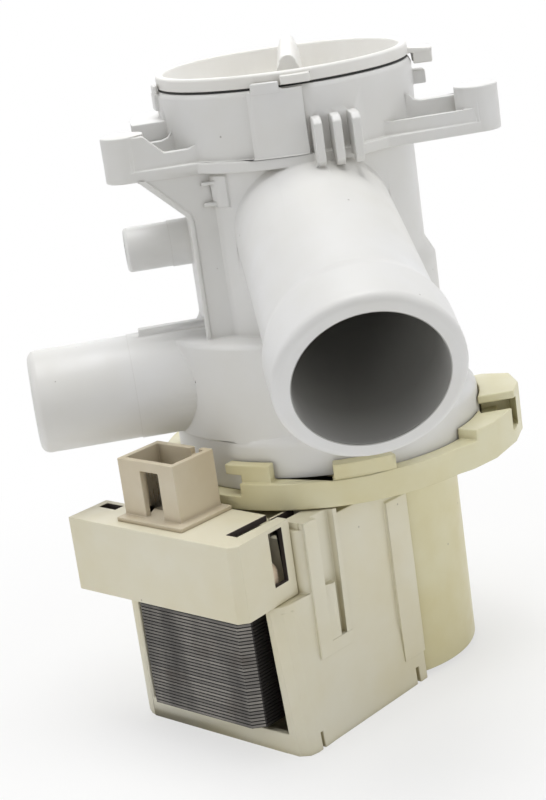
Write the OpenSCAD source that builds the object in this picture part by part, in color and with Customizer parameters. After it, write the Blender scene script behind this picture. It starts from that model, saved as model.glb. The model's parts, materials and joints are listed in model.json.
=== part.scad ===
// Washer drain pump: a filter housing with a screwed cap, a volute pump and a synchronous motor.
// Frame: +Z is the pump axis, z = 0 is the motor's foot, -Y faces the inlet spigot, -X the drain outlet.
// On the motor, u runs out from the axis through the coils to the yoke and v runs across it.

/* [Heights along the axis] */
// Height of the motor cover, from its foot to the underside of the flange
motor_h = 62; // [60:0.5:66]
// Gap between the motor cover's top and the flange
flange_gap = 2.2; // [1.8:0.1:2.6]
// Height of the flange's outer wall
flange_h = 7.8; // [7:0.2:9]
// Thickness of the flange plate that the housing stands on
plate_t = 3.8; // [3:0.2:5]
// Height of the plug on the flange that closes the volute from below
plug_h = 12; // [11:0.5:14]
// Height of the volute on the housing
volute_h = 26; // [25:0.5:30]
// Height from the top of the volute to the top of the collar
chamber_h = 49.6; // [48.6:0.2:54]
// Height of the chamber's head above the collar
head_h = 18.2; // [16:0.1:20]

/* [Filter housing] */
// Wall of the housing
wall = 3; // [2:0.25:3.5]
// Outside radius of the filter chamber below the collar
chamber_r = 34.5; // [34:0.25:35.5]
// Outside radius of the chamber's head above the collar
head_r = 36; // [35.5:0.25:38]
// How far the rim stands out of the head
rim_band = 0.4; // [0.2:0.1:0.6]
// Height of the chamfer round the rim's top
rim_bevel = 1.6; // [1:0.2:2.4]
// How far the collar stands out of the head
collar_out = 1.8; // [1:0.2:3]
// Thickness of the collar and of the ears' plates
collar_t = 3; // [2:0.25:4]
// Outside radius of the volute
volute_r = 40; // [39:0.25:41]
// How far the volute's centre lies towards the outlet
volute_off = 5.5; // [4:0.5:6]
// Outside radius of the base ring that drops into the flange
base_r = 44.6; // [44:0.2:45.6]
// Radius of the eye between filter chamber and volute
eye_r = 13; // [10:0.5:16]

/* [Inlet spigot] */
// Outside diameter of the inlet spigot at its end
inlet_d = 50; // [48:0.5:51]
// Outside diameter of the inlet spigot at its root
inlet_root_d = 44; // [43:0.5:46]
// Diameter of the inlet bore at the spigot's end
inlet_bore_d = 39.8; // [37:0.2:41]
// Length of the inlet from the pump axis to its end
inlet_len = 101; // [95:1:110]
// Length of the inlet's flared end
inlet_flare = 20; // [16:1:24]
// Downward tilt of the inlet, in degrees
inlet_tilt = 22; // [18:1:24]
// How far below the collar's top the inlet's axis meets the pump axis
inlet_drop = 11; // [10:0.5:12.5]

/* [Drain outlet and vent] */
// Outside diameter of the drain outlet
outlet_d = 29.6; // [28:0.2:30]
// Wall of the drain outlet
outlet_wall = 2.8; // [2:0.2:3.4]
// Reach of the drain outlet from the pump axis
outlet_len = 84.5; // [75:0.5:95]
// Length of the hose's seat on the drain outlet
outlet_seat = 29; // [24:0.5:32]
// How far the outlet's axis lies in front of the pump axis
outlet_y = 8; // [4:0.5:12]
// Outside diameter of the vent spigot
vent_d = 13; // [11:0.5:14]
// Diameter of the vent bore
vent_bore_d = 8.4; // [6:0.2:9]
// Reach of the vent spigot from the pump axis
vent_len = 51.5; // [46:0.5:56]
// Length of the hose's seat on the vent spigot
vent_seat = 13; // [10:0.5:14]
// Height of the vent's axis above the volute
vent_up = 23.5; // [20:0.5:27]

/* [Ears and hooks] */
// Radius of the ears' bosses
boss_r = 6; // [5:0.25:7]
// Height of the bosses above the collar's top
boss_up = 9.6; // [8:0.2:12]
// Distance of the left boss from the pump axis, sideways
ear_left_x = 48.3; // [46:0.5:52]
// How far the left boss lies in front of the pump axis
ear_left_y = 16.5; // [14:0.5:18]
// Distance of the right boss from the pump axis, sideways
ear_right_x = 49.5; // [47:0.5:53]
// How far the right boss lies in front of the pump axis
ear_right_y = 23; // [20:0.5:24]
// How far the ears' plates stand out in front of their front ribs
ear_ledge = 1.6; // [1:0.2:2.4]
// Thickness of the ears' ribs
rib_t = 2; // [1.5:0.1:2.5]
// Thickness of the hooks
hook_t = 2.4; // [2:0.1:3]
// Spacing of the hooks
hook_pitch = 5.2; // [4.6:0.1:5.6]

/* [Filter cap] */
// Outside radius of the cap's rim
cap_r = 35.7; // [35:0.1:36.2]
// Height of the cap's rim
cap_rim_h = 3.5; // [2.8:0.1:4]
// Depth of the cap's dish below the rim's top
dish_depth = 9.5; // [8:0.5:12]
// Length of the cap's plug below its rim
cap_plug_h = 17; // [15:0.5:19]
// Thickness of the cap's walls
cap_wall = 2.5; // [2:0.1:3]
// Height of the grip bar above the rim's top
grip_up = 3.4; // [3:0.2:7]
// Thickness of the grip bar at its foot
grip_w = 8; // [6:0.2:9]
// Thickness of the cap's rubber seal
seal_t = 0.5; // [0.4:0.1:1]
// Gap between the seal and what it meets
seal_gap = 0.06; // [0.04:0.02:0.2]
// Gap between the cap's plug and the head's bore
cap_clear = 0.4; // [0.3:0.1:0.6]

/* [Filter basket] */
// Length of the basket below the cap's plug
basket_len = 44; // [38:1:46]
// Thickness of the basket's walls
basket_t = 1.8; // [1.5:0.1:2.4]
// Number of bars round the basket
basket_bars = 12; // [8:1:14]

/* [Motor] */
// Turn of the motor about the pump axis, from straight in front towards the outlet, in degrees
motor_turn = 50; // [46:1:54]
// Radius of the flange's outer wall
flange_r = 49.7; // [49.5:0.1:51]
// Radius of the cup that closes the motor's back
cup_r = 33; // [32.5:0.25:34]
// How far the cup's centre lies behind the pump axis
cup_back = 4.5; // [3:0.5:6]
// Wall of the cup and of the rotor can
cup_wall = 2.2; // [1.6:0.1:2.6]
// Height of the cup's floor above the foot
cup_up = 1.5; // [1:0.25:2]
// Inside radius of the rotor can
can_r = 14; // [13:0.25:15]
// Half width of the motor cover
cover_v = 31.5; // [31:0.25:33]
// Reach of the cover's front from the pump axis
cover_u = 63.2; // [62:0.2:66]
// Where the cover meets the cup
seam_u = 7; // [5:0.5:8]
// Wall of the cover and of the terminal box
cover_wall = 2; // [1.6:0.1:2.4]
// Rounding of the cover's front and bottom corners
cover_round = 5; // [3:0.5:6]
// Gap between the flange and the terminal box, which starts at the cover's upper front
box_clear = 2.3; // [2:0.1:3]
// How far the cover's right side leans out at the front corner's foot
draft_out = 2.8; // [2:0.2:3.6]
// Gap between the housing's base ring and the flange's wall
base_clear = 0.4; // [0.3:0.05:0.8]
// How far the latch frame stands out of the cover's side
latch_out = 0.9; // [0.6:0.1:1.2]

/* [Stator] */
// Height of the laminated core
core_h = 31.6; // [30:0.2:32]
// Height of the core's underside above the foot
core_z = 8; // [7.6:0.2:9]
// Reach of the yoke's front from the pump axis
yoke_u = 68; // [66:0.5:68.5]
// Depth of the yoke
yoke_depth = 14; // [12:0.5:16]
// Half width of the core
core_v = 22; // [21:0.25:22.5]
// Half gap between the core's legs
leg_gap = 8; // [7.5:0.25:9]
// Thickness of one lamination
lam_t = 1; // [0.8:0.1:1.6]
// Thickness of the coil formers
bobbin_t = 1.2; // [1:0.1:1.4]
// Thickness of the windings
winding_t = 4.3; // [3:0.1:4.4]
// Length of the coil formers
bobbin_len = 26; // [22:0.5:27]

/* [Terminal box] */
// Depth of the terminal box
box_depth = 23.6; // [22:0.2:26]
// Reach of the terminal box to the outlet's side
box_left = 35; // [33:0.5:38]
// Reach of the terminal box to the other side
box_right = 30; // [29:0.2:31]
// Height of the terminal box
box_h = 22; // [20:0.5:24]
// Gap between the core's top and the terminal box
box_gap = 4; // [3:0.5:5]
// Width of the connector socket
socket_w = 22; // [20:0.5:23]
// Depth of the connector socket
socket_d = 16; // [14:0.5:17]
// Height of the connector socket
socket_h = 16.5; // [14:0.5:18]
// Wall of the connector socket
socket_wall = 1.8; // [1.4:0.1:2.2]
// Width of the contact blades
blade_w = 6.3; // [4.8:0.1:6.3]
// Thickness of the contact blades
blade_t = 0.8; // [0.5:0.1:1]

/* [Rotor and impeller] */
// Diameter of the shaft
shaft_d = 3.2; // [3:0.1:4]
// Radial clearance of the shaft in its bushes
shaft_clear = 0.04; // [0.02:0.01:0.08]
// Clearance of the magnet in the rotor can
magnet_clear = 0.8; // [0.5:0.1:1.2]
// Radius of the bushes
bush_r = 4.5; // [4:0.1:5]
// Radius of the rubber boots round the bushes
boot_r = 7; // [6.5:0.1:7.5]
// Length of the bushes
bush_len = 5; // [4:0.5:6]
// Radius of the impeller
impeller_r = 20; // [17:0.5:24]
// Height of the impeller
impeller_h = 14; // [12:0.5:16]
// Number of impeller blades
impeller_blades = 6; // [4:1:8]

/* [Hidden] */
$fn = 96;
eps = 0.01;
cut = 1;
seat = 0.3;
flange_low = motor_h + flange_gap;
flange_z = flange_low + flange_h;
plate_z = flange_low + plate_t;
floor_z = plate_z + plug_h;
volute_z = floor_z + 4;
volute_top = volute_z + volute_h;
collar_z = volute_top + chamber_h;
collar_low = collar_z - collar_t;
rim_z = collar_z + head_h;
cap_z = rim_z + seal_t + 2 * seal_gap;
cap_top = cap_z + cap_rim_h;
head_bore = head_r - wall;
chamber_bore = chamber_r - wall;
volute_bore = volute_r - wall;
volute_end = 6 - chamber_r;
plug_r = base_r - wall - 1;
seal_deep = 1.6;
seal_half = 1.5;
collar_r = head_r + collar_out;
band_r = head_r + rim_band;
inlet_z = collar_z - inlet_drop;
outlet_z = volute_top - outlet_d / 2 + 1.4;
vent_z = volute_top + vent_up;
flange_in = base_r + base_clear;
can_out = can_r + 1.6;
can_floor = cup_up + cup_wall;
shaft_r = shaft_d / 2;
bush_bore = shaft_r + shaft_clear;
magnet_r = can_r - magnet_clear;
core_top = core_z + core_h;
cover_top_u = flange_r + box_clear;
box_u = cover_top_u + box_depth;
box_z = core_top + box_gap;
box_top = box_z + box_h;
cap_plug_r = head_bore - cap_clear;
cap_plug_z = cap_z - cap_plug_h;
basket_r = cap_plug_r - cap_wall - seat;
basket_z = cap_plug_z - basket_len;
rear_bush_z = can_floor;
sleeve_z = rear_bush_z + bush_len + 0.4;
magnet_z = sleeve_z + 0.6;
sleeve_r = 5;
dog_r = 9;
dog_z = magnet_z + core_h + 2;
dog_h = 5;
dog_angle = 44;
bearing_z = floor_z - bush_len;
lip_t = 1.5;
lip_r = can_out + 1.5;
impeller_z = floor_z + lip_t + 0.7;
shaft_low = rear_bush_z + 0.5;
shaft_top = impeller_z + impeller_h - 1;
leg_end = -18;
bobbin_u = min(cover_top_u - cover_wall - 1.6, yoke_u - yoke_depth - 0.6) - bobbin_len;
socket_u = cover_top_u + 1.2;
socket_z = box_top + 1.2;
socket_v = -17.3;
blade_u = socket_u + socket_d / 2 + 1;
blade_places = [socket_v + socket_w * 0.3, socket_v + socket_w * 0.7];
lead_z = core_top + 13;
latch_u = cover_top_u - 1.5;

white_pp = "#E9E9E8";
cap_white = "#ECEAE4";
cream = "#D2CBAC";
grey_cream = "#CDC8B6";
rubber = "#2B2B2B";
steel = "#5B5957";

// Points on an arc about (x, y), from angle a0 to a1
function arc(x, y, r, a0, a1, n = 6) =
    [for (i = [0:n]) let (a = a0 + (a1 - a0) * i / n) [x + r * cos(a), y + r * sin(a)]];

// Places of the local frames
module along_inlet() translate([0, 0, inlet_z]) rotate([90 + inlet_tilt, 0, 0]) children();
module along_outlet() translate([0, -outlet_y, outlet_z]) rotate([0, -90, 0]) children();
module along_vent() translate([0, 5, vent_z]) rotate([0, -90, 0]) children();
module on_motor() rotate([0, 0, -90 - motor_turn]) children();

// Ring sector between two radii and two heights, from angle a0 to a1
module sector(r0, r1, z0, z1, a0, a1) {
    rotate([0, 0, a0])
        rotate_extrude(angle = a1 - a0)
            translate([r0, z0])
                square([r1 - r0, z1 - z0]);
}

// Ring about the pump axis
module ring(r0, r1, z0, z1) {
    difference() {
        translate([0, 0, z0]) cylinder(r = r1, h = z1 - z0);
        translate([0, 0, z0 - cut]) cylinder(r = r0, h = z1 - z0 + 2 * cut);
    }
}

// Box from its low corner to its high corner
module block(lo, hi) translate(lo) cube(hi - lo);

// Plate in the XZ plane, from y0 to y1
module upright(points, y0, y1)
    translate([0, y1, 0]) rotate([90, 0, 0])
        linear_extrude(y1 - y0)
            polygon(points);

// Housing

// Round body: base ring with its shoulder, chamber, collar and head
module housing_outside() {
    shoulder = 3.6;
    difference() {
        rotate_extrude()
            polygon(concat(
                [[0, plate_z], [base_r, plate_z]],
                arc(base_r - shoulder, volute_z - shoulder, shoulder, 0, 90),
                [[chamber_r, volute_z], [chamber_r, collar_low], [collar_r, collar_low], [collar_r, collar_z],
                 [head_r, collar_z], [band_r, rim_z - rim_bevel], [cap_r, rim_z], [0, rim_z]]));
        // flat behind the fin
        block([-2 * chamber_r, -chamber_r, volute_top + 0.5],
              [-chamber_bore - 1.1, chamber_r, collar_low - 0.1]);
    }
}

// Volute: its centre is shifted towards the outlet, and it ends behind it
module volute_outside() {
    edge = 1.5;
    difference() {
        translate([-volute_off, -1, 0])
            rotate_extrude()
                polygon(concat(
                    [[0, volute_z - 2], [volute_r, volute_z - 2]],
                    arc(volute_r - edge, volute_top - edge, edge, 0, 90, 4),
                    [[0, volute_top]]));
        block([-2 * volute_r, wall + 1, volute_z - 3], [volute_end, 2 * volute_r, volute_top + cut]);
    }
}

// Bulge and skirt on the side away from the outlet
module bulge() {
    out = 2.7;
    translate([out, 0.5, 0])
        rotate_extrude()
            polygon([[0, volute_z - 2], [chamber_r + 5, volute_z - 2], [chamber_r + 4.4, volute_z + 6],
                     [chamber_r, volute_z + 15], [chamber_r, volute_top + 11],
                     [chamber_r - 3, volute_top + 17], [0, volute_top + 17]]);
}

module housing_cavity() {
    bore_step = 2;
    rotate_extrude()
        polygon([[0, plate_z - cut], [plug_r + seat, plate_z - cut], [plug_r + seat, floor_z + seat],
                 [eye_r, floor_z + seat], [eye_r, volute_top], [chamber_bore, volute_top],
                 [chamber_bore, collar_z - bore_step], [head_bore, collar_z], [head_bore, rim_z + cut],
                 [0, rim_z + cut]]);
    difference() {
        translate([-volute_off, -1, floor_z]) cylinder(r = volute_bore, h = volute_top - wall - floor_z);
        block([-2 * volute_r, 1, floor_z - cut], [volute_end + wall, 2 * volute_r, volute_top]);
    }
}

module inlet_outside() {
    edge = 2.4;
    root = 20;
    lip = inlet_flare * 0.7;
    r0 = inlet_root_d / 2;
    r1 = inlet_d / 2;
    along_inlet()
        rotate_extrude()
            polygon(concat(
                [[0, 0], [r0, 0], [r0, root],
                 [r0 + (r1 - r0) * 0.4, inlet_len - inlet_flare], [r1, inlet_len - lip]],
                arc(r1 - edge, inlet_len - edge, edge, 0, 90),
                [[0, inlet_len]]));
}

module inlet_bore() {
    r1 = inlet_bore_d / 2;
    lead = 0.4;
    along_inlet()
        rotate_extrude()
            polygon([[0, 0], [r1 - 1, 0], [r1, inlet_len - inlet_flare], [r1, inlet_len - lead],
                     [r1 + lead, inlet_len], [r1 + lead, inlet_len + cut], [0, inlet_len + cut]]);
}

// Spigot: the hose's seat ends at a slightly thicker root
module spigot_outside(d, len, edge, seat_len) {
    thick = d / 2 + 0.25;
    rotate_extrude()
        polygon(concat([[0, 0], [thick, 0], [thick, len - seat_len], [d / 2, len - seat_len]],
                       arc(d / 2 - edge, len - edge, edge, 0, 90), [[0, len]]));
}

// One ear: boss, plate and two ribs that rise where they meet the head; a web may slope down from the boss
module ear(x, y, side, rib_front, rib_back, web) {
    foot = 14;
    inner = side * foot;
    front = -y - boss_r;
    back = -y + boss_r;
    wall_front = side * sqrt(head_r * head_r - front * front);
    wall_back = side * sqrt(head_r * head_r - back * back);
    translate([x, -y, collar_low]) cylinder(r = boss_r, h = boss_up + collar_t, $fn = 64);
    translate([0, 0, collar_low])
        linear_extrude(collar_t)
            polygon([[inner, front - ear_ledge], [wall_front, front - ear_ledge], [x, front + 0.1],
                     [x, back - 0.1], [inner, back - 0.1]]);
    upright(ear_rib(x, inner, wall_front, side, rib_front, web), front + 0.4, front + 0.4 + rib_t);
    upright(ear_rib(x, inner, wall_back, side, rib_back, 0), back - 0.2 - rib_t, back - 0.2);
}

function ear_rib(x, inner, at, side, up, web) =
    concat([[x, collar_z - 0.5], [x, collar_z + up + web], [x - side * 5.4, collar_z + up + web],
            [x - side * (5.4 + web), collar_z + up]],
           [[at + side * 3, collar_z + up], [at + side, collar_z + up + 0.6], [at, collar_z + up + 2],
            [inner, collar_z + up + 2], [inner, collar_z - 0.5]]);

// Upright fin under the left ear, with its sloping gusset, a rim along its edge and two short ribs
module fin() {
    front = ear_left_y + boss_r;
    fin_t = 2.4;
    fin_x = chamber_r - 0.8;
    gusset = 11;
    rim = 1.3;
    top = collar_low + 0.3;
    bend = collar_low - gusset;
    upright([[-ear_left_x + 2, top], [-fin_x - 1, bend], [-fin_x, bend - 2], [-fin_x, volute_top - 0.3],
             [-fin_x + 14, volute_top - 0.3], [-fin_x + 14, top]], -front, -front + fin_t);
    upright([[-ear_left_x + 2, top], [-fin_x - 1, bend], [-fin_x, bend - 2], [-fin_x, volute_top - 0.5],
             [-fin_x + rim, volute_top - 0.5], [-fin_x + rim, bend - 2], [-fin_x + rim - 0.7, bend + 0.3],
             [-ear_left_x + 2 + 1.7 * rim, top]], -front - 0.7, -front + fin_t - 0.5);
    for (down = [2.4, 8.2])
        block([-fin_x + 4.6, -front - 2, collar_low - down - 1],
              [-fin_x + 12, -front + 0.2, collar_low - down]);
}

// Wedge that backs the left boss, under a flat tab
module wedge() {
    top = collar_z + 10.9;
    tab_t = 2;
    in = -head_r + 4;
    upright([[-head_r - 9, top], [in, top], [in, collar_z + 3], [-head_r - 3.5, collar_z + 3]], -9, 1);
    translate([0, 0, top - tab_t])
        linear_extrude(tab_t)
            polygon([[in, -9], [-head_r - 9, -9], [-head_r - 8, 8], [-head_r - 5, 14], [in, 14]]);
}

module hook(x) {
    top = collar_z + 9.6;
    out = head_r + 6.5;
    translate([x - hook_t / 2, 0, 0])
        rotate([90, 0, 90])
            linear_extrude(hook_t)
                polygon([[-head_r + 3, top], [-out + 1.5, top], [-out, top - 1.5], [-out, collar_low + 1],
                         [-out + 2, collar_low - 1], [-head_r - 1, collar_low + 1],
                         [-head_r + 3, collar_low + 1]]);
}

module hooks() for (i = [0:2]) hook(2.2 + i * hook_pitch);

// Tabs and pads round the head; what stands above the rim keeps clear of the cap
module head_tabs() {
    in = head_r - 1;
    beside = cap_r + 0.4;
    sector(in, head_r + 1.7, collar_z - 0.5, rim_z - 0.2, -113, -90);
    sector(beside, head_r + 1.9, rim_z - 1, cap_z + 1.3, -111, -99.4);
    sector(in, head_r + 1.5, rim_z - 5, rim_z - 0.3, 178, 188);
    sector(beside, head_r + 1.3, rim_z - 3, cap_z + 1.4, 178.5, 187.5);
    sector(in, head_r + 4, rim_z - 8.4, rim_z - 4.6, -9, 1);
    sector(chamber_r - 1, chamber_r + 0.8, collar_low - 9.8, collar_low - 1, -139, -130);
}

module web_over_outlet() {
    web_t = 2.4;
    block([-chamber_r - 17.5, -outlet_y - 3, volute_top - 1],
          [-chamber_r + 4, -outlet_y, volute_top + 1 + web_t]);
}

module filter_housing() color(white_pp) {
    difference() {
        union() {
            housing_outside();
            volute_outside();
            bulge();
            inlet_outside();
            along_outlet() spigot_outside(outlet_d, outlet_len, 2.6, outlet_seat);
            along_vent() spigot_outside(vent_d, vent_len, 1.2, vent_seat);
            ear(-ear_left_x, ear_left_y, -1, 4, 6, 5.2);
            ear(ear_right_x, ear_right_y, 1, 3.6, 7, 0.1);
            fin();
            wedge();
            hooks();
            head_tabs();
            web_over_outlet();
        }
        housing_cavity();
        inlet_bore();
        along_outlet() translate([0, 0, volute_r - 8])
            cylinder(r = outlet_d / 2 - outlet_wall, h = outlet_len);
        along_vent() translate([0, 0, chamber_bore - 5]) cylinder(d = vent_bore_d, h = vent_len);
    }
}

// Cap, seal and basket

module cap_body() {
    edge = 0.8;
    rim_w = 2.4;
    dish_z = cap_top - dish_depth;
    inner = cap_plug_r - cap_wall;
    rotate_extrude()
        polygon(concat(
            [[0, dish_z - cap_wall], [inner, dish_z - cap_wall], [inner, cap_plug_z],
             [cap_plug_r, cap_plug_z], [cap_plug_r, cap_z], [cap_r, cap_z]],
            arc(cap_r - edge, cap_top - edge, edge, 0, 90, 4),
            arc(cap_r - rim_w + edge, cap_top - edge, edge, 90, 180, 4),
            [[inner + 0.6, dish_z + 1.5], [inner - 1, dish_z], [0, dish_z]]));
}

module grip_bar() {
    dish_z = cap_top - dish_depth;
    top = cap_top + grip_up;
    tip = 2.4;
    half = grip_w / 2;
    reach = cap_plug_r - cap_wall - 2;
    aside = 2.2;
    rotate([0, 0, -8])
        translate([aside, 0, 0])
            upright(concat([[-half, dish_z - eps], [half, dish_z - eps], [half - 1, cap_top]],
                           arc(0, top - tip, tip, 0, 180, 8), [[-half + 1, cap_top]]),
                    -reach, reach);
}

module filter_cap() color(cap_white) {
    tab_r = cap_r + 6.8;
    low_tab = head_r + rim_band + 2 * seat;
    union() {
        cap_body();
        grip_bar();
        sector(cap_r - 1, cap_r + 1.9, cap_z + 0.1, cap_z + 2.5, -98.6, -86);
        sector(cap_r - 1, tab_r, cap_z + 0.1, cap_z + 1.2, -14, -2);
        sector(low_tab, tab_r - 0.1, cap_z - 3, cap_z + 1, -13.9, -2.1);
    }
}

module cap_seal() color(rubber) ring(cap_plug_r + seat, cap_r - 0.3, rim_z + seal_gap, cap_z - seal_gap);

module filter_basket() color(white_pp) {
    ring_h = 8;
    open_angle = 100;
    bar_angle = 7;
    step = 0.15;
    bar_step = (360 - open_angle) / (basket_bars - 1);
    ring(basket_r - basket_t, basket_r, cap_plug_z - ring_h, cap_top - dish_depth - cap_wall);
    for (i = [0:basket_bars - 1]) {
        a = -90 + open_angle / 2 + i * bar_step;
        sector(basket_r - basket_t + step, basket_r - step, basket_z + 1, cap_plug_z - ring_h + 1,
               a - bar_angle / 2, a + bar_angle / 2);
    }
    for (z = [basket_z, basket_z + basket_len * 0.4])
        ring(basket_r - basket_t, basket_r, z, z + 2.4);
    difference() {
        translate([0, 0, basket_z]) cylinder(r = basket_r - basket_t / 2, h = basket_t);
        for (i = [0:5])
            rotate([0, 0, i * 60]) translate([basket_r / 2, 0, basket_z - cut])
                cylinder(r = 5, h = basket_t + 2 * cut);
    }
}

// Wet end of the motor

module flange_seal() color(rubber) {
    groove = plate_z + plug_h / 2;
    ring(plug_r - seal_deep, plug_r + seat - 0.05, groove - seal_half, groove + seal_half);
}

module impeller() color(white_pp) {
    hub_r = 5;
    disc_t = 1.6;
    blade = 1.6;
    difference() {
        union() {
            translate([0, 0, impeller_z]) cylinder(r = impeller_r, h = disc_t);
            translate([0, 0, impeller_z]) cylinder(r = hub_r, h = impeller_h);
            for (i = [0:impeller_blades - 1])
                rotate([0, 0, i * 360 / impeller_blades])
                    block([hub_r - 1, -blade / 2, impeller_z + seat],
                          [impeller_r - 0.4, blade / 2, impeller_z + impeller_h]);
        }
        translate([0, 0, impeller_z - cut]) cylinder(r = shaft_r, h = shaft_top - impeller_z + cut);
    }
}

module rotor_shaft() color("silver")
    translate([0, 0, shaft_low])
        cylinder(r = shaft_r, h = shaft_top - shaft_low);

// Driven tooth: it turns with the shaft and starts opposite the driving tooth
module dog_hub() color(white_pp) {
    hub_r = sleeve_r - seat;
    z0 = dog_z + seat;
    ring(shaft_r, hub_r, z0, dog_z + dog_h);
    sector(hub_r - 0.5, dog_r - seat, z0 + seat, dog_z + dog_h - seat, 180 - dog_angle / 2,
           180 + dog_angle / 2);
}

module rotor_magnet() color("#3A3A3C") ring(sleeve_r, magnet_r, magnet_z, magnet_z + core_h);

module magnet_sleeve() color("#C9C4B4") {
    disc_t = 2;
    rotate_extrude()
        polygon([[bush_bore, sleeve_z], [sleeve_r, sleeve_z], [sleeve_r, dog_z - disc_t],
                 [dog_r, dog_z - disc_t], [dog_r, dog_z], [bush_bore, dog_z]]);
    sector(sleeve_r + seat, dog_r - seat, dog_z - disc_t / 2, dog_z + dog_h, -dog_angle / 2, dog_angle / 2);
}

module thrust_washer() color("#B5722E")
    ring(shaft_r + 0.1, bush_r - 0.2, rear_bush_z + bush_len, sleeve_z - 0.1);

module bearing_plate() color(cream) {
    difference() {
        union() {
            translate([0, 0, bearing_z]) cylinder(r = can_r - 0.1, h = bush_len);
            translate([0, 0, floor_z]) cylinder(r = lip_r, h = lip_t);
        }
        translate([0, 0, bearing_z - cut]) cylinder(r = boot_r, h = bush_len + cut);
        translate([0, 0, floor_z - cut]) cylinder(r = bush_r - 1, h = lip_t + 2 * cut);
    }
}

module bush(z) ring(bush_bore, bush_r, z, z + bush_len);
module boot(z) ring(bush_r, boot_r, z, z + bush_len);

module front_bush() color("#4A4642") bush(bearing_z);
module front_boot() color(rubber) boot(bearing_z);
module rear_bush() color("#4A4642") bush(rear_bush_z);
module rear_boot() color(rubber) boot(rear_bush_z);

// Outline of the hooked lug: it leaves the round wall along a tangent
function lug_outline() =
    concat([[20, -30], [flange_r * 0.4, -flange_r * 0.89], [flange_r * 0.69, -flange_r * 0.765],
            [flange_r * 0.855, -flange_r * 0.64], [flange_r * 1.035, -flange_r * 0.4]],
           arc(flange_r + 1.4, -8, 5, -35, 0, 5), [[flange_r + 6.4, 2], [flange_r - 1, 6], [20, 4]]);

module flange_lugs() {
    lug_z = flange_z + 3;
    bridge_z = lug_z + 3.8;
    // stop block beside the connector
    sector(flange_in + 0.2, flange_r - 1, plate_z - 0.5, flange_z + 5, -136, -119);
    // ramp at the front
    sector(flange_in + 0.2, flange_r - 0.15, plate_z - 0.5, flange_z + 4.3, -98, -77.5);
    // hooked lug at the right, with its window and bridge
    difference() {
        translate([0, 0, flange_low]) linear_extrude(bridge_z - flange_low) polygon(lug_outline());
        translate([0, 0, plate_z]) cylinder(r = flange_in, h = 30);
        translate([0, 0, flange_z]) rotate([0, 0, -90]) rotate_extrude(angle = 45) square([80, 30]);
        block([0, -60, lug_z], [80, -17, lug_z + 20]);
        block([base_r - 3, -21, plate_z], [flange_r + 3.6, -7, bridge_z - 2.4]);
    }
}

module cup_outline(r) {
    intersection() {
        translate([-cup_back, 0]) circle(r = r);
        translate([-2 * cup_r, -2 * cup_r]) square([2 * cup_r + seam_u, 4 * cup_r]);
    }
}

// Plate, outer wall, plug and rotor can, turned as one
module flange_round() {
    groove = plate_z + plug_h / 2;
    foot_r = 12;
    rotate_extrude()
        polygon([[0, 0], [foot_r, 0], [foot_r, cup_up], [can_out, cup_up], [can_out, flange_low],
                 [flange_r, flange_low], [flange_r, flange_z], [flange_in, flange_z], [flange_in, plate_z],
                 [plug_r, plate_z], [plug_r, groove - seal_half],
                 [plug_r - seal_deep, groove - seal_half], [plug_r - seal_deep, groove + seal_half],
                 [plug_r, groove + seal_half], [plug_r, floor_z], [can_r, floor_z], [can_r, can_floor],
                 [boot_r + 1.5, can_floor], [boot_r + 1.5, can_floor + bush_len],
                 [boot_r, can_floor + bush_len], [boot_r, can_floor], [0, can_floor]]);
}

// Cup round the back of the motor, open towards the cover
module cup() {
    on_motor()
        difference() {
            translate([0, 0, cup_up]) linear_extrude(flange_low - cup_up + eps) cup_outline(cup_r);
            translate([-cup_back, 0, can_floor])
                cylinder(r = cup_r - cup_wall, h = flange_low - can_floor + cut);
        }
}

module motor_flange() color(cream) {
    difference() {
        union() {
            flange_round();
            cup();
            flange_lugs();
        }
        // the wall is left out beside the connector
        on_motor() block([base_r - 3, -40, plate_z + 0.2], [box_u, 8.5, flange_z + 2]);
    }
}

// Stator

module core_outline() {
    corner = 3;
    difference() {
        polygon([[leg_end, -core_v], [yoke_u - corner, -core_v], [yoke_u, -core_v + corner],
                 [yoke_u, core_v - corner], [yoke_u - corner, core_v], [leg_end, core_v]]);
        translate([leg_end - cut, -leg_gap]) square([yoke_u - yoke_depth - leg_end + cut, 2 * leg_gap]);
        circle(r = can_out + seat);
    }
}

module stator_core() color(steel) on_motor() {
    groove = 0.22;
    deep = 0.4;
    count = floor(core_h / lam_t) - 1;
    show_u = yoke_u - yoke_depth + 4;
    difference() {
        translate([0, 0, core_z]) linear_extrude(core_h) core_outline();
        // joints between the laminations, where the yoke shows
        for (i = [1:count])
            difference() {
                block([show_u, -core_v - cut, core_z + i * lam_t - groove / 2],
                      [yoke_u + cut, core_v + cut, core_z + i * lam_t + groove / 2]);
                translate([0, 0, core_z]) linear_extrude(core_h)
                    polygon([[show_u - cut, -core_v + deep], [yoke_u - 3, -core_v + deep],
                             [yoke_u - deep, -core_v + 3], [yoke_u - deep, core_v - 3],
                             [yoke_u - 3, core_v - deep], [show_u - cut, core_v - deep]]);
            }
    }
}

// Rectangular tube round one leg, side -1 or 1, grown by a on all sides
module round_leg(side, a, u0, u1) {
    lo = side < 0 ? -core_v : leg_gap;
    hi = side < 0 ? -leg_gap : core_v;
    block([u0, lo - a, core_z - a], [u1, hi + a, core_top + a]);
}

module bobbin(side) {
    play = 0.2;
    cheek = 1.5;
    tall = play + bobbin_t + winding_t + 0.2;
    on_motor()
        difference() {
            union() {
                round_leg(side, play + bobbin_t, bobbin_u, bobbin_u + bobbin_len);
                round_leg(side, tall, bobbin_u, bobbin_u + cheek);
                round_leg(side, tall, bobbin_u + bobbin_len - cheek, bobbin_u + bobbin_len);
            }
            round_leg(side, play, bobbin_u - cut, bobbin_u + bobbin_len + cut);
        }
}

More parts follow.
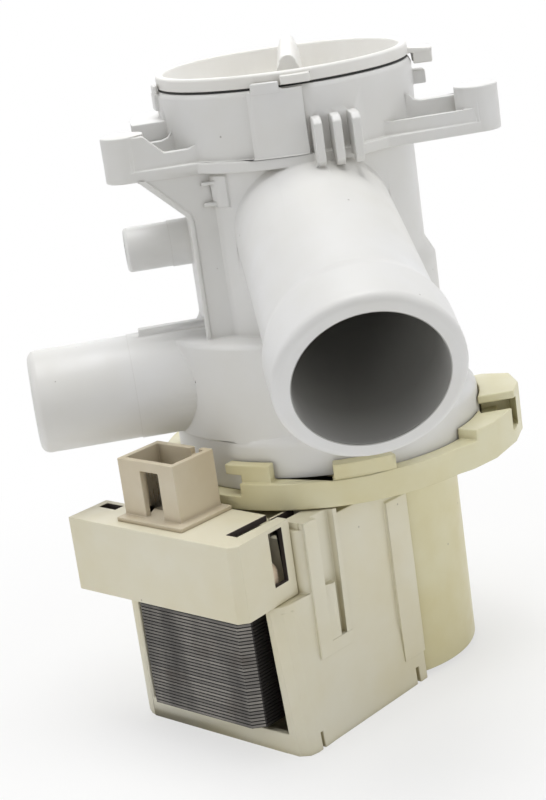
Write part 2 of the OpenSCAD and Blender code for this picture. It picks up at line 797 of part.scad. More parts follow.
module winding(side) {
    inner = 0.2 + bobbin_t;
    cheek = 1.5;
    on_motor()
        difference() {
            round_leg(side, inner + winding_t, bobbin_u + cheek, bobbin_u + bobbin_len - cheek);
            round_leg(side, inner, bobbin_u, bobbin_u + bobbin_len);
        }
}

module bobbin_left() color("#DAD6CC") bobbin(-1);
module bobbin_right() color("#DAD6CC") bobbin(1);
module winding_left() color("#8A4B24") winding(-1);
module winding_right() color("#8A4B24") winding(1);

// Cover and terminal box

// Cover's outside: its plan with rounded front corners, cut by its section with rounded bottom edges
module cover_outside(u1, z0, z1, half, r) {
    intersection() {
        translate([0, 0, z0])
            linear_extrude(z1 - z0)
                polygon(concat([[seam_u, half], [seam_u, -half]], arc(u1 - r, -half + r, r, -90, 0),
                               arc(u1 - r, half - r, r, 0, 90)));
        rotate([90, 0, 90])
            linear_extrude(u1 + cut)
                polygon(concat([[half, z1 + cut], [-half, z1 + cut]], arc(-half + r, r, r, 180, 270),
                               arc(half - r, r, r, 270, 360)));
    }
}

// Latch frame on the cover's side: two bars and a sill round a recess, with the latch's tongue in it
module latch_frame() {
    low = 24;
    sill = 3.6;
    top = flange_low - seat;
    in = cover_v - 1.5;
    out = cover_v + latch_out;
    block([latch_u - 5.2, in, low], [latch_u, out, top]);
    block([latch_u - 13.8, in, low], [latch_u - 1, out - 0.1, low + sill]);
    block([latch_u - 13.8, in, low + 1], [latch_u - 12, out - 0.2, top]);
}

module latch_recess() {
    block([latch_u - 12, cover_v - 1.4, 27.6], [latch_u - 5.2, cover_v + 5, flange_low + cut]);
}

module latch_tongue()
    block([latch_u - 9.6, cover_v - 1.7, 27], [latch_u - 5, cover_v + latch_out - 0.2, 43.7]);

// One slice of the drafted side: flare is how far it stands out at the foot, up is where it ends
module draft_slice(u, flare, top, up) {
    translate([u, 0, 0])
        rotate([90, 0, 90])
            linear_extrude(0.5)
                polygon([[cover_v - 5.5, 0], [cover_v + flare, 0], [cover_v + top, up], [cover_v - 5.5, up]]);
}

// The cover's right side leans out towards its foot, most at the front corner
module side_draft() {
    high = box_z - 2;
    hull() {
        draft_slice(seam_u + 0.2, 0.8, -0.2, 23);
        draft_slice(latch_u, draft_out * 0.8, -0.2, 27);
    }
    hull() {
        draft_slice(latch_u, draft_out * 0.8, -0.2, 27);
        draft_slice(cover_u - 5, draft_out, 0.12, high);
    }
    hull() {
        draft_slice(cover_u - 5, draft_out, 0.12, high);
        draft_slice(cover_u - 2.3, draft_out - 0.6, -0.9, high);
    }
    hull() {
        draft_slice(cover_u - 2.3, draft_out - 0.6, -0.9, high);
        draft_slice(cover_u - 0.6, draft_out - 3, -4, high);
    }
}

module motor_cover() color(grey_cream) on_motor() {
    floor_t = 1.6;
    strip = 9.3;
    window_v = 25.5;
    window_z = 6;
    inner_v = cover_v - cover_wall;
    difference() {
        union() {
            cover_outside(cover_u, 0, box_z, cover_v, cover_round);
            cover_outside(cover_top_u, 0, motor_h, cover_v, cover_round - 2);
            // raised top under the flange, over the right side
            block([latch_u - 14, cover_v - 12, motor_h - 0.5],
                  [cover_top_u - 1.2, cover_v - 1.2, flange_low - seat]);
            latch_frame();
            side_draft();
            // raised strips along the seam with the cup
            for (s = [-1, 1])
                block([seam_u, s * (cover_v + 0.25) - 0.75, 9],
                      [seam_u + strip, s * (cover_v + 0.25) + 0.75, motor_h - 4]);
        }
        // hollow behind the front wall and behind the upper part's wall
        block([seam_u - cut, -inner_v, floor_t], [cover_u - cover_wall, inner_v, box_z - cover_wall]);
        block([seam_u - cut, -inner_v, floor_t], [cover_top_u - cover_wall, inner_v, motor_h - cover_wall]);
        // window for the yoke
        block([cover_top_u + 1, -core_v - seat, core_z - seat], [cover_u + cut, core_v + seat, box_z + cut]);
        translate([cover_u - cover_wall - cut, 0, 0])
            rotate([90, 0, 90])
                linear_extrude(cover_wall + 2 * cut)
                    polygon([[-window_v, window_z], [window_v + draft_out * 0.8, window_z],
                             [window_v, box_z + cut], [-window_v, box_z + cut]]);
        // way for the leads into the terminal box
        block([cover_top_u - cover_wall - cut, -16, lead_z - 2], [cover_top_u + cut, 4, lead_z + 2]);
        // slot under the flange, in line with the terminal box's
        block([latch_u - 9, box_right - cover_wall - 7.4, motor_h - cover_wall - cut],
              [cover_top_u + cut, box_right - cover_wall - 3.6, flange_low + cut]);
        latch_recess();
        // notches at the foot, near both ends of the drafted side
        block([cover_u - 7.6, cover_v + draft_out - 2, -cut], [cover_u - 6.6, cover_v + 12, 5]);
        block([seam_u + 3.6, cover_v - 0.8, -cut], [seam_u + 5, cover_v + 12, 5]);
        // the rotor can keeps clear
        translate([0, 0, -cut]) cylinder(r = can_out + seat, h = motor_h + 2 * cut);
    }
    latch_tongue();
}

// Terminal box: its plan has a cut corner at the right and is shallower at the left end
module terminal_box() color(grey_cream) on_motor() {
    w = cover_wall;
    back = cover_top_u;
    left_back = back + box_depth * 0.36;
    left_v = -cover_v + 6;
    edge = 2.4;
    difference() {
        translate([0, 0, box_z])
            linear_extrude(box_h)
                polygon([[back, left_v], [left_back, left_v], [left_back, -box_left], [box_u, -box_left],
                         [box_u, box_right - edge], [box_u - edge, box_right], [back, box_right - 1.4]]);
        // hollow, open at the back towards the cover
        block([back - cut, left_v + w, box_z + w], [box_u - w, box_right - w - 1, box_top - w]);
        block([left_back + w, -box_left + w, box_z + w], [box_u - w, 0, box_top - w]);
        // slots in the top, along the right wall and at the left end
        block([back - cut, box_right - w - 7.5, box_top - w - cut],
              [box_u - 7.5, box_right - w - 3.5, box_top + cut]);
        block([left_back + w, -box_left + 2.5, box_top - w - cut],
              [left_back + 5, -box_left + 9, box_top + cut]);
        // window in the right wall
        block([back + 3.5, box_right - w - 1 - cut, box_z + 5.4], [back + 9, box_right + cut, box_top - 1.3]);
        // holes for the blades
        for (v = blade_places)
            block([blade_u - blade_t / 2 - 0.2, v - blade_w / 2 - 0.2, box_top - w - cut],
                  [blade_u + blade_t / 2 + 0.2, v + blade_w / 2 + 0.2, box_top + cut]);
    }
}

module connector_socket() color(grey_cream) on_motor() {
    u0 = socket_u;
    u1 = socket_u + socket_d;
    v0 = socket_v;
    v1 = socket_v + socket_w;
    top = socket_z + socket_h;
    w = socket_wall;
    difference() {
        union() {
            block([u0 - 1, v0 - 0.6, box_top], [u1 + 3, v1 + 3, socket_z]);
            block([u0, v0, socket_z - eps], [u1, v1, top]);
        }
        block([u0 + w, v0 + w, socket_z], [u1 - w, v1 - w, top + cut]);
        // keyway in the front wall
        block([u1 - w - cut, v0 + 8.5, socket_z], [u1 + cut, v0 + 15.5, top - 3]);
        // notch in the rim
        block([u0 - cut, v1 - 7, top - 2], [u0 + w + cut, v1 - 4, top + cut]);
        for (v = blade_places)
            block([blade_u - blade_t / 2, v - blade_w / 2, box_top - cut],
                  [blade_u + blade_t / 2, v + blade_w / 2, socket_z + cut]);
    }
}

module contact_blades() color("silver") on_motor() {
    for (v = blade_places)
        block([blade_u - blade_t / 2, v - blade_w / 2, lead_z - 2],
              [blade_u + blade_t / 2, v + blade_w / 2, socket_z + socket_h * 0.7]);
}

// Round-topped thermal cut-out, standing on the terminal box's floor behind the window
module thermal_cutout() color("#E3DCCB") on_motor() {
    r = 3.2;
    up = box_h * 0.26;
    translate([cover_top_u + box_depth * 0.27, box_right - cover_wall - r - 1.4, box_z + cover_wall]) {
        cylinder(r = r, h = up, $fn = 40);
        translate([0, 0, up]) sphere(r = r, $fn = 40);
    }
}

// Leads from the coil formers to the blades
module coil_leads() color("#B8B0A0") on_motor() {
    lead_r = 0.6;
    u0 = bobbin_u + bobbin_len * 0.85;
    low = core_top + bobbin_t + winding_t + 0.4;
    for (v = blade_places) {
        translate([u0, v, low]) cylinder(r = lead_r, h = lead_z - low, $fn = 24);
        translate([u0, v, lead_z]) sphere(r = lead_r, $fn = 24);
        translate([u0, v, lead_z]) rotate([0, 90, 0])
            cylinder(r = lead_r, h = blade_u - blade_t / 2 - u0, $fn = 24);
    }
}

filter_housing();
filter_cap();
cap_seal();
filter_basket();
flange_seal();
impeller();
rotor_shaft();
dog_hub();
rotor_magnet();
magnet_sleeve();
thrust_washer();
bearing_plate();
front_bush();
front_boot();
rear_bush();
rear_boot();
motor_flange();
stator_core();
bobbin_left();
bobbin_right();
winding_left();
winding_right();
motor_cover();
terminal_box();
connector_socket();
contact_blades();
thermal_cutout();
coil_leads();
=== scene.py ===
"""Looks of a washer drain pump: moulded filter housing, cap that turns out, cream flange, open-framed motor."""

import json
import math

import bmesh
import bpy
from mathutils import Matrix, Vector
from mathutils.bvhtree import BVHTree

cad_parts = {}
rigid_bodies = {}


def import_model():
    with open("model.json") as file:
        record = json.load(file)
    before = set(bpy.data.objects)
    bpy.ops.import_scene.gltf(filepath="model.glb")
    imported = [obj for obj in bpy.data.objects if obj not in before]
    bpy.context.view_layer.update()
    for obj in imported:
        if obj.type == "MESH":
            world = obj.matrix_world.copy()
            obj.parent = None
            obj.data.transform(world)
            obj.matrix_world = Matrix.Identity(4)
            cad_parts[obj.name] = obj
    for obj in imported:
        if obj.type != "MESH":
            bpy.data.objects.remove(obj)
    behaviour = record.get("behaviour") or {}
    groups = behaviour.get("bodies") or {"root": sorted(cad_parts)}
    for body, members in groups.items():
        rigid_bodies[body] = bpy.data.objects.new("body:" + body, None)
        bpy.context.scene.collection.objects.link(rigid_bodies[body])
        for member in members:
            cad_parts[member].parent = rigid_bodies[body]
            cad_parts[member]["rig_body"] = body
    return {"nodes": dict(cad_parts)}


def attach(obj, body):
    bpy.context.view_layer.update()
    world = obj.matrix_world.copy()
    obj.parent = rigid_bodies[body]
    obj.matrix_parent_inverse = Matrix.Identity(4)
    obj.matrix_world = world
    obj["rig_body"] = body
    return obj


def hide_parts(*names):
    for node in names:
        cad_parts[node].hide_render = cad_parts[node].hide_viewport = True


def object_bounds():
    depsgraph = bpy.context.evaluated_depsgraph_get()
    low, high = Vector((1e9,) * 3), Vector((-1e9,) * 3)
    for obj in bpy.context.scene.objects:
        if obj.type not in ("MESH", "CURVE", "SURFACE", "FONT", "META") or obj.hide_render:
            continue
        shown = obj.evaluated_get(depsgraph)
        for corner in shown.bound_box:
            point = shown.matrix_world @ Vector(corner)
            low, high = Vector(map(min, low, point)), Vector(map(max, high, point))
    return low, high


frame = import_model()
cad_low, cad_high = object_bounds()

MM = 0.001

# Camera: the photograph's viewing angle and perspective
AZIMUTH = math.radians(-5.508)
ELEVATION = math.radians(15.904)
ROLL = math.radians(8.147)
LOOK_AT = Vector((-16.10, -3.99, 84.39)) * MM
DISTANCE = 556.85 * MM
FOCAL_PIXELS = 1900
IMAGE_HEIGHT = 800
SENSOR = 36

# Soft lamps in metres and watts, all of one size and turned to the pump's middle
LAMP_SIZE = 0.6
LAMPS = (
    ("top", (0, 0, 1.15), 7.6),
    ("left", (-0.95, -0.15, 0.45), 1.3),
    ("right", (0.95, -0.15, 0.5), 1.2),
    ("fill", (0.7, -0.75, 0.3), 1.2),
    ("back", (0, 0.9, 0.6), 1.1),
)

# Floor: its half width, where it starts and ends going over into white, and how white it is there
FLOOR_HALF = 6
FADE_REACH = (0.06, 0.24)
FADE_WHITE = (0.62, 1.0)

# Motor: u runs out to the terminal box, v across it
MOTOR_U = Vector((-0.766044, -0.642788, 0))
MOTOR_V = Vector((0.642788, -0.766044, 0))
# Height of one sheet of the core, half width of the core's front face, past which its ends are painted dark as
# painted shade, thickness and bend of the coil's wire, in mm
LAMINATION = 1.0
CORE_END = 21.7
WIRE = 0.62
COIL_CORNER = 4.2
CORNER_STEPS = 6
# Rooms inside the motor's shells, whose inner faces get painted shade, lowest and highest u, v, z in mm
COVER_ROOM = ((-40, -29.7, 0.6), (50.6, 29.7, 70))
BOX_ROOM = ((40, -33.9, 44.6), (74.6, 28.9, 64.6))

# Inlet axis: a point on it, its direction to the mouth and the direction across it in the upright plane
INLET_POINT = Vector((0, -86.05, 113.83)) * MM
INLET_ALONG = Vector((0, -0.927184, -0.374607))
INLET_ACROSS = Vector((0, -0.374607, 0.927184))
# Radii that hold all of the faces painted grey as painted shade inside the inlet's bore and the chamber
INLET_BORE = 20.4 * MM
CHAMBER_BORE = 31.9 * MM

# Rounding of moulded edges: vertices merged within this, faces taken as flat and edges taken as sharp by angle
MERGE = 0.002 * MM
FLAT_ANGLE = math.radians(0.5)
SHARP_ANGLE = math.radians(28)
# A face narrower than this share of the rounding keeps sharp edges
NARROW = 0.8

# Sockets of a Mix node that mixes colours
MIX_A, MIX_B, MIX_RESULT = 6, 7, 2


# Shader helpers

def linear(code):
    """sRGB hex colour as linear RGBA."""
    parts = [int(code[i:i + 2], 16) / 255 for i in (1, 3, 5)]
    return [c / 12.92 if c <= 0.04045 else ((c + 0.055) / 1.055) ** 2.4 for c in parts] + [1.0]


def node(tree, kind, inputs=None, **settings):
    """Adds a shader node with its settings, values and links."""
    made = tree.nodes.new(kind)
    for name, value in settings.items():
        setattr(made, name, value)
    for name, value in (inputs or {}).items():
        if isinstance(value, bpy.types.NodeSocket):
            tree.links.new(value, made.inputs[name])
        else:
            made.inputs[name].default_value = value
    return made


def new_material(name):
    """Empty material with its Principled shader and the object's own coordinates."""
    material = bpy.data.materials.new(name)
    material.use_nodes = True
    tree = material.node_tree
    shader = tree.nodes["Principled BSDF"]
    place = node(tree, "ShaderNodeTexCoord").outputs["Object"]
    return material, tree, shader, place


def per_mm(size):
    """Texture scale, in metres, of a pattern that repeats about every size millimetres."""
    return 1 / (size * MM)


def maths(tree, operation, *values):
    """Result of a Math node."""
    return node(tree, "ShaderNodeMath", dict(enumerate(values)), operation=operation).outputs[0]


def vector(tree, operation, *values):
    """Result of a Vector Math node, a number or a vector by what it does."""
    made = node(tree, "ShaderNodeVectorMath", dict(enumerate(values)), operation=operation)
    return made.outputs["Value" if operation in ("DOT_PRODUCT", "LENGTH") else "Vector"]


def ramp(tree, value, given, wanted, **settings):
    """Value carried from one range into another and held at its ends."""
    inputs = {"Value": value, "From Min": given[0], "From Max": given[1], "To Min": wanted[0], "To Max": wanted[1]}
    return node(tree, "ShaderNodeMapRange", inputs, **settings).outputs[0]


def blend(tree, factor, first, second):
    """Colour between two others."""
    inputs = {"Factor": factor, MIX_A: first, MIX_B: second}
    return node(tree, "ShaderNodeMix", inputs, data_type="RGBA").outputs[MIX_RESULT]


def noise(tree, place, size, detail):
    """Cloudy pattern of about size millimetres."""
    inputs = {"Vector": place, "Scale": per_mm(size), "Detail": detail}
    return node(tree, "ShaderNodeTexNoise", inputs).outputs["Fac"]


def relief(tree, height, strength, depth, under=None):
    """Normal of a relief, depth in millimetres, laid over the one under it."""
    inputs = {"Height": height, "Strength": strength, "Distance": depth * MM}
    if under is not None:
        inputs["Normal"] = under
    return node(tree, "ShaderNodeBump", inputs).outputs["Normal"]


def seen_by(tree, *rays):
    """Mask that is 1 for the named kinds of ray."""
    path = node(tree, "ShaderNodeLightPath").outputs
    mask = path[rays[0]]
    for ray in rays[1:]:
        mask = maths(tree, "MAXIMUM", mask, path[ray])
    return mask


# Materials

def painted_shade_inside(tree, place):
    """Mask of painted shade inside the pump: 1 on the faces of the inlet's bore and the chamber."""
    x, y, _ = node(tree, "ShaderNodeSeparateXYZ", {0: place}).outputs
    from_point = vector(tree, "SUBTRACT", place, INLET_POINT)
    across = vector(tree, "DOT_PRODUCT", from_point, INLET_ACROSS)
    along = vector(tree, "DOT_PRODUCT", from_point, INLET_ALONG)
    flat = node(tree, "ShaderNodeCombineXYZ", {0: x, 1: across}).outputs[0]
    in_bore = maths(tree, "LESS_THAN", vector(tree, "LENGTH", flat), INLET_BORE)
    # the painted shade thins out over the last 14 mm before the mouth
    deep = ramp(tree, along, (-6 * MM, 9 * MM), (1.0, 0.7))
    inner_shade_mask = maths(tree, "MULTIPLY", in_bore, deep)
    # the axis goes on behind the chamber, where no face gets this painted shade
    in_front = maths(tree, "LESS_THAN", y, 0.0)
    bore = maths(tree, "MULTIPLY", inner_shade_mask, in_front)
    level = node(tree, "ShaderNodeCombineXYZ", {0: x, 1: y}).outputs[0]
    in_chamber = maths(tree, "LESS_THAN", vector(tree, "LENGTH", level), CHAMBER_BORE)
    return maths(tree, "MAXIMUM", bore, in_chamber)


def moulded_plastic(name, colour, aged, rough, ior, ageing, speck, dust_and_shade_strength, dust_and_shade_tone="#8C8370", bore_shade=False):
    """Injection-moulded plastic: soft gloss from the tool's polish, patchy ageing, specks, dust and painted shade in
    corners, painted shade inside the bore and chamber if asked.
    """
    material, tree, shader, place = new_material(name)
    shader.inputs["IOR"].default_value = ior
    # yellowing in soft patches, about 45 mm across, broken up by cloudier ones of 9 mm
    wide = noise(tree, place, 45, 2.0)
    close = noise(tree, place, 9, 4.0)
    cloud = maths(tree, "MULTIPLY_ADD", close, 0.3, wide)
    spread = ramp(tree, cloud, (0.42, 0.9), (0.0, ageing))
    tone = blend(tree, spread, linear(colour), linear(aged))
    # small dark specks, one in some of the 7 mm cells
    cells = node(tree, "ShaderNodeTexVoronoi", {"Vector": place, "Scale": per_mm(7)}).outputs
    dot = ramp(tree, cells["Distance"], (0.028, 0.05), (speck, 0.0))
    chance = node(tree, "ShaderNodeSeparateColor", {"Color": cells["Color"]}).outputs["Red"]
    few = maths(tree, "GREATER_THAN", chance, 0.72)
    tone = blend(tree, maths(tree, "MULTIPLY", dot, few), tone, linear("#6B6152"))
    # dust and painted shade in the corners, within 3 mm of another face
    corner = node(tree, "ShaderNodeAmbientOcclusion", {"Distance": 3 * MM}, samples=6).outputs["AO"]
    tone = blend(tree, ramp(tree, corner, (0.35, 0.85), (dust_and_shade_strength, 0.0)), tone, linear(dust_and_shade_tone))
    if bore_shade:
        # painted shade: grey over the faces inside the inlet's bore and the chamber
        inner_shade_mask = maths(tree, "MULTIPLY", painted_shade_inside(tree, place), 0.9)
        tone = blend(tree, inner_shade_mask, tone, linear("#8E8D88"))
    tree.links.new(tone, shader.inputs["Base Color"])
    # gloss broken up by handling
    gloss = ramp(tree, close, (0.3, 0.7), (rough - 0.06, rough + 0.1))
    tree.links.new(gloss, shader.inputs["Roughness"])
    # faint grain of the mould, drawn at 0.8 mm so that it shows
    grain = relief(tree, noise(tree, place, 0.8, 2.0), 0.12, 0.05)
    # sink marks that moulding leaves over ribs, gentle and about 18 mm apart
    sunk = relief(tree, noise(tree, place, 18, 1.0), 0.35, 0.5, grain)
    tree.links.new(sunk, shader.inputs["Normal"])
    return material


def rubber():
    """Black moulded rubber: matt, a little greyed by water."""
    material, tree, shader, place = new_material("black_nitrile_rubber")
    bloom = noise(tree, place, 5, 3.0)
    tree.links.new(blend(tree, bloom, linear("#161616"), linear("#2B2B29")), shader.inputs["Base Color"])
    shader.inputs["Roughness"].default_value = 0.72
    skin = relief(tree, noise(tree, place, 0.6, 2.0), 0.15, 0.05)
    tree.links.new(skin, shader.inputs["Normal"])
    return material


def metal(name, colour, dull, rough, size, stretch):
    """Bare metal: two tones in a pattern of the given size, drawn out along Z by stretch."""
    material, tree, shader, place = new_material(name)
    drawn = vector(tree, "MULTIPLY", place, (1, 1, 1 / stretch))
    streak = noise(tree, drawn, size, 4.0)
    tree.links.new(blend(tree, streak, linear(colour), linear(dull)), shader.inputs["Base Color"])
    shader.inputs["Metallic"].default_value = 1.0
    gloss = ramp(tree, streak, (0.3, 0.7), (rough, rough + 0.15))
    tree.links.new(gloss, shader.inputs["Roughness"])
    tree.links.new(relief(tree, streak, 0.1, 0.02), shader.inputs["Normal"])
    return material


def laminations():
    """Edges of stacked electrical steel: sheets of different tones, dark varnish at their joints, smears, rust,
    painted shade on the stack's ends.
    """
    material, tree, shader, place = new_material("laminated_electrical_steel")
    height = node(tree, "ShaderNodeSeparateXYZ", {0: place}).outputs[2]
    sheet = maths(tree, "DIVIDE", height, LAMINATION * MM)
    each = node(tree, "ShaderNodeTexWhiteNoise", {"W": maths(tree, "FLOOR", sheet)}, noise_dimensions="1D")
    tone = blend(tree, each.outputs["Value"], linear("#726F6B"), linear("#938F89"))
    # varnish beside each joint of the sheets, over a third of their height
    near_joint = maths(tree, "PINGPONG", sheet, 0.5)
    tone = blend(tree, maths(tree, "LESS_THAN", near_joint, 0.17), tone, linear("#2B2A29"))
    # smears down the stack, in a pattern of about 10 mm across it
    across = vector(tree, "DOT_PRODUCT", place, MOTOR_V)
    down = maths(tree, "MULTIPLY", height, 0.15)
    drawn = node(tree, "ShaderNodeCombineXYZ", {0: across, 1: down}).outputs[0]
    smear = ramp(tree, noise(tree, drawn, 10, 3.0), (0.42, 0.66), (0.0, 0.75))
    tone = blend(tree, smear, tone, linear("#3E3C3A"))
    # rust in blotches of about 12 mm
    rust = ramp(tree, noise(tree, place, 12, 5.0), (0.56, 0.76), (0.0, 0.35))
    tone = blend(tree, rust, tone, linear("#4E4035"))
    # painted shade: the stack's ends, past the front face, are painted dark
    shaded_end = maths(tree, "GREATER_THAN", maths(tree, "ABSOLUTE", across), CORE_END * MM)
    tone = blend(tree, shaded_end, tone, linear("#2E2B29"))
    tree.links.new(tone, shader.inputs["Base Color"])
    shader.inputs["Metallic"].default_value = 0.35
    shader.inputs["Roughness"].default_value = 0.55
    burr = relief(tree, noise(tree, place, 1.2, 3.0), 0.4, 0.1)
    tree.links.new(burr, shader.inputs["Normal"])
    return material


# Camera, light and floor

def add_camera():
    """Camera that looks at the pump from slightly left and above, tipped as the photograph is."""
    data = bpy.data.cameras.new("camera")
    data.sensor_width = SENSOR
    data.lens = FOCAL_PIXELS * SENSOR / IMAGE_HEIGHT
    back = Vector((math.sin(AZIMUTH) * math.cos(ELEVATION), -math.cos(AZIMUTH) * math.cos(ELEVATION),
                   math.sin(ELEVATION)))
    right = Vector((math.cos(AZIMUTH), math.sin(AZIMUTH), 0))
    up = back.cross(right)
    across = math.cos(ROLL) * right - math.sin(ROLL) * up
    upward = math.sin(ROLL) * right + math.cos(ROLL) * up
    camera = bpy.data.objects.new("camera", data)
    turn = Matrix((across, upward, back)).transposed().to_4x4()
    camera.matrix_world = Matrix.Translation(LOOK_AT + back * DISTANCE) @ turn
    bpy.context.scene.collection.objects.link(camera)
    bpy.context.scene.camera = camera


def lamp(name, place, aim, size, power, spread=180):
    """Square soft lamp turned to a point."""
    data = bpy.data.lights.new(name, "AREA")
    data.size = size
    data.energy = power
    data.spread = math.radians(spread)
    made = bpy.data.objects.new(name, data)
    made.location = place
    made.rotation_euler = (aim - Vector(place)).to_track_quat("-Z", "Y").to_euler()
    bpy.context.scene.collection.objects.link(made)


def add_light():
    """Surroundings that are white where they are seen and softer where they light, and the lamps."""
    world = bpy.data.worlds.new("studio")
    bpy.context.scene.world = world
    world.use_nodes = True
    tree = world.node_tree
    seen = seen_by(tree, "Is Camera Ray", "Is Glossy Ray", "Is Transmission Ray")
    soft = node(tree, "ShaderNodeBackground", {"Color": (1, 1, 1, 1), "Strength": 0.3})
    white = node(tree, "ShaderNodeBackground", {"Color": (1, 1, 1, 1), "Strength": 1.0})
    mixed = node(tree, "ShaderNodeMixShader", {0: seen, 1: soft.outputs[0], 2: white.outputs[0]})
    tree.links.new(mixed.outputs[0], tree.nodes["World Output"].inputs["Surface"])
    centre = (cad_low + cad_high) / 2
    for name, place, power in LAMPS:
        lamp(name, place, centre, LAMP_SIZE, power)
    # low lamp with a grid, which lights the motor only
    lamp("low", (-0.5, -0.6, 0.05), Vector((-0.02, -0.03, 0.0)), size=0.3, power=0.03, spread=30)


def add_floor():
    """Matt white paper that keeps a faint shadow, and goes over into white away from the pump."""
    material, tree, shader, place = new_material("paper_floor")
    shader.inputs["Base Color"].default_value = linear("#F4F4F3")
    shader.inputs["Roughness"].default_value = 0.9
    reach = vector(tree, "LENGTH", place)
    away = ramp(tree, reach, FADE_REACH, FADE_WHITE, interpolation_type="SMOOTHSTEP")
    far = maths(tree, "MULTIPLY", seen_by(tree, "Is Camera Ray", "Is Glossy Ray"), away)
    glow = node(tree, "ShaderNodeEmission", {"Color": (1, 1, 1, 1), "Strength": 1.0})
    both = node(tree, "ShaderNodeMixShader", {0: far, 1: shader.outputs[0], 2: glow.outputs[0]})
    tree.links.new(both.outputs[0], tree.nodes["Material Output"].inputs["Surface"])
    ground = bmesh.new()
    bmesh.ops.create_grid(ground, x_segments=1, y_segments=1, size=FLOOR_HALF)
    mesh = bpy.data.meshes.new("floor")
    ground.to_mesh(mesh)
    ground.free()
    mesh.materials.append(material)
    floor = bpy.data.objects.new("floor", mesh)
    bpy.context.scene.collection.objects.link(floor)


# Pieces

def faces_in(shape, room):
    """Faces of a motor shell that lie in its room and look at another wall of it, which get painted shade."""
    tree = BVHTree.FromBMesh(shape)
    found = []
    for face in shape.faces:
        middle = face.calc_center_median()
        spot = (middle.dot(MOTOR_U), middle.dot(MOTOR_V), middle.z)
        if all(low * MM < at < high * MM for at, low, high in zip(spot, *room)):
            # the ray starts just off the face, so that it can't meet the face itself
            if tree.ray_cast(middle + face.normal * 0.05 * MM, face.normal)[0]:
                found.append(face)
    return found


def softened(name, width, material, room=None, shade_material=None):
    """Stands for a CAD node: its merged copy, with the edges that have room for it rounded as in moulding."""
    source = frame["nodes"][name]
    shape = bmesh.new()
    shape.from_mesh(source.data)
    bmesh.ops.remove_doubles(shape, verts=shape.verts, dist=MERGE)
    bmesh.ops.dissolve_limit(shape, angle_limit=FLAT_ANGLE, verts=shape.verts, edges=shape.edges)
    weight = shape.edges.layers.float.new("bevel_weight_edge")
    short = width * MM
    cramped = {v for e in shape.edges if e.calc_length() < short for v in e.verts}
    narrow = {f for f in shape.faces if 2 * f.calc_area() < NARROW * short * f.calc_perimeter()}
    for edge in shape.edges:
        if len(edge.link_faces) == 2 and edge.calc_face_angle() > SHARP_ANGLE:
            tight = cramped.intersection(edge.verts) or narrow.intersection(edge.link_faces)
            edge[weight] = 0.0 if tight else 1.0
            edge.smooth = not tight
    for face in shape.faces:
        face.smooth = True
    # faces inside the shells that look at another wall get the painted-shade material
    if room:
        for face in faces_in(shape, room):
            face.material_index = 1
    mesh = bpy.data.meshes.new(name + "_soft")
    shape.to_mesh(mesh)
    shape.free()
    mesh.materials.append(material)
    if room:
        mesh.materials.append(shade_material)
    piece = bpy.data.objects.new(name + "_soft", mesh)
    bpy.context.scene.collection.objects.link(piece)
    rounding = piece.modifiers.new("rounded_edges", "BEVEL")
    rounding.limit_method = "WEIGHT"
    rounding.width = short
    rounding.segments = 2
    rounding.use_clamp_overlap = False
    even = piece.modifiers.new("even_shading", "WEIGHTED_NORMAL")
    even.keep_sharp = True
    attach(piece, source["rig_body"])
    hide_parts(name)


def finish_node(name, material):
    """Gives a CAD node that stays its material."""
    mesh = frame["nodes"][name].data
    mesh.materials.clear()
    mesh.materials.append(material)


def coil_ring(low, high):
    """One turn of the wire across the leg: v and z of a box with rounded corners."""
    bend = COIL_CORNER * MM
    near_v, far_v = low[1] + bend, high[1] - bend
    near_z, far_z = low[2] + bend, high[2] - bend
    ring = []
    for v, z, start in ((far_v, far_z, 0), (near_v, far_z, 90), (near_v, near_z, 180), (far_v, near_z, 270)):
        for step in range(CORNER_STEPS):
            a = math.radians(start + 90 * step / (CORNER_STEPS - 1))
            ring.append((v + bend * math.cos(a), z + bend * math.sin(a)))
    return ring


def wound_coil(name, material):
    """Stands for a winding: one wire laid turn beside turn round the former, as its outermost layer."""
    source = frame["nodes"][name]
    wire_r = WIRE / 2 * MM
    spots = [(v.co.dot(MOTOR_U), v.co.dot(MOTOR_V), v.co.z) for v in source.data.vertices]
    low = [min(s[i] for s in spots) + wire_r for i in range(3)]
    high = [max(s[i] for s in spots) - wire_r for i in range(3)]
    ring = coil_ring(low, high)
    turns = int((high[0] - low[0]) / (WIRE * MM))
    pitch = (high[0] - low[0]) / turns
    curve = bpy.data.curves.new(name + "_wire", "CURVE")
    curve.dimensions = "3D"
    curve.bevel_depth = wire_r
    curve.bevel_resolution = 1
    line = curve.splines.new("POLY")
    line.points.add(turns * len(ring) - 1)
    for i, point in enumerate(line.points):
        v, z = ring[i % len(ring)]
        spot = MOTOR_U * (low[0] + pitch * i / len(ring)) + MOTOR_V * v
        point.co = (spot.x, spot.y, z, 1)
    laid = bpy.data.objects.new(name + "_wire", curve)
    mesh = bpy.data.meshes.new_from_object(laid)
    bpy.data.objects.remove(laid)
    mesh.materials.clear()
    mesh.materials.append(material)
    for face in mesh.polygons:
        face.use_smooth = True
    piece = bpy.data.objects.new(name + "_coil", mesh)
    bpy.context.scene.collection.objects.link(piece)
    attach(piece, source["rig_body"])
    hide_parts(name)


bpy.context.scene.view_settings.view_transform = "Standard"
add_camera()
add_light()
add_floor()

white_pp = moulded_plastic("white_polypropylene", "#E6E6E6", "#DCDAD2", rough=0.42, ior=1.49,
                           ageing=0.6, speck=0.5, dust_and_shade_strength=0.25, bore_shade=True)
cap_pp = moulded_plastic("warm_white_polypropylene", "#EFEEEB", "#E4E1D8", rough=0.4, ior=1.49,
                         ageing=0.6, speck=0.3, dust_and_shade_strength=0.25)
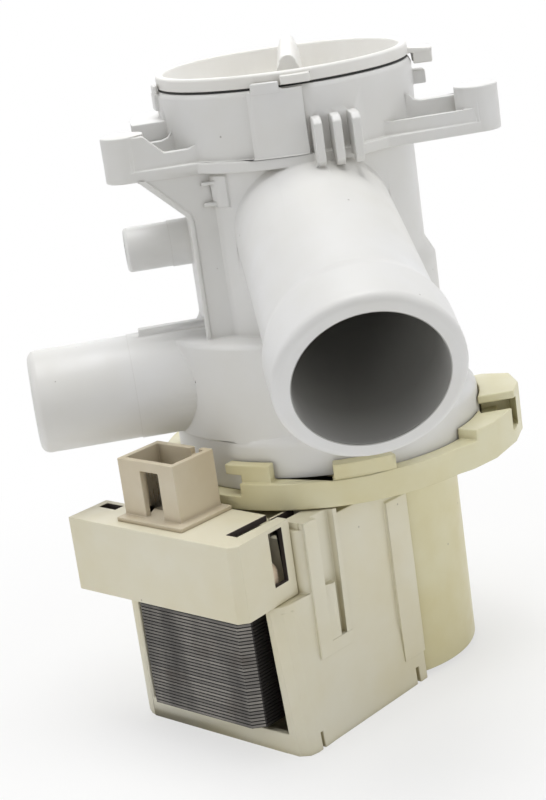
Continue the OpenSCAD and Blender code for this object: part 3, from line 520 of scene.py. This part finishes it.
# PBT that heat has yellowed in patches, with olive dust and painted shade in its corners
OLIVE = "#8F8149"
cream_pbt = moulded_plastic("aged_cream_pbt", "#E4E0C2", "#D3C792", rough=0.38, ior=1.53,
                            ageing=0.8, speck=0.5, dust_and_shade_strength=0.55, dust_and_shade_tone=OLIVE)
grey_cream_pbt = moulded_plastic("grey_cream_pbt", "#E5E1CF", "#D9CFAA", rough=0.42, ior=1.53,
                                 ageing=0.7, speck=0.5, dust_and_shade_strength=0.55, dust_and_shade_tone=OLIVE)
# the socket gets a browner, darker tone of it
tan_pbt = moulded_plastic("tan_pbt", "#D9D0BC", "#C2B190", rough=0.45, ior=1.53,
                          ageing=0.8, speck=0.5, dust_and_shade_strength=0.6, dust_and_shade_tone="#7A6442")
# painted shade: the same plastic, painted near black inside the motor's shells
shade_painted_pbt = moulded_plastic("shade_painted_pbt", "#3A302A", "#2A2220", rough=0.75, ior=1.53,
                            ageing=0.8, speck=0.3, dust_and_shade_strength=0.4, dust_and_shade_tone="#1C1714")
# glazed body of the cut-out
ceramic = moulded_plastic("glazed_ceramic", "#F0DCC2", "#E2C7A4", rough=0.25, ior=1.55,
                          ageing=0.5, speck=0.2, dust_and_shade_strength=0.2)

softened("filter_housing", 0.4, white_pp)
softened("filter_cap", 0.4, cap_pp)
softened("motor_flange", 0.4, cream_pbt)
softened("motor_cover", 0.4, grey_cream_pbt, COVER_ROOM, shade_painted_pbt)
softened("terminal_box", 0.4, grey_cream_pbt, BOX_ROOM, shade_painted_pbt)
softened("connector_socket", 0.3, tan_pbt)

black_rubber = rubber()
for name in ("cap_seal", "flange_seal", "front_boot", "rear_boot"):
    finish_node(name, black_rubber)
for name in ("filter_basket", "impeller", "dog_hub", "magnet_sleeve"):
    finish_node(name, cap_pp)
finish_node("thermal_cutout", ceramic)
for name in ("bobbin_left", "bobbin_right", "bearing_plate"):
    finish_node(name, cream_pbt)
finish_node("stator_core", laminations())
# ground shaft and tinned blades, with fine marks along their length
bright_steel = metal("ground_steel", "#C9C9C8", "#A9A8A6", rough=0.22, size=0.5, stretch=8)
for name in ("rotor_shaft", "contact_blades"):
    finish_node(name, bright_steel)
# oil-soaked sintered bronze, with its pores at 0.4 mm
bronze = metal("sintered_bronze", "#A9824F", "#6E5230", rough=0.45, size=0.4, stretch=1)
for name in ("front_bush", "rear_bush", "thrust_washer"):
    finish_node(name, bronze)
# pressed ferrite is a dark dull ceramic, so a dark dull metal tone stands for it
ferrite = metal("pressed_ferrite", "#3A3A3C", "#2A2A2C", rough=0.55, size=1.5, stretch=1)
finish_node("rotor_magnet", ferrite)
# lacquered copper
copper = metal("enamelled_copper", "#9A4A22", "#7A3516", rough=0.25, size=2, stretch=1)
finish_node("coil_leads", copper)
wound_coil("winding_left", copper)
wound_coil("winding_right", copper)
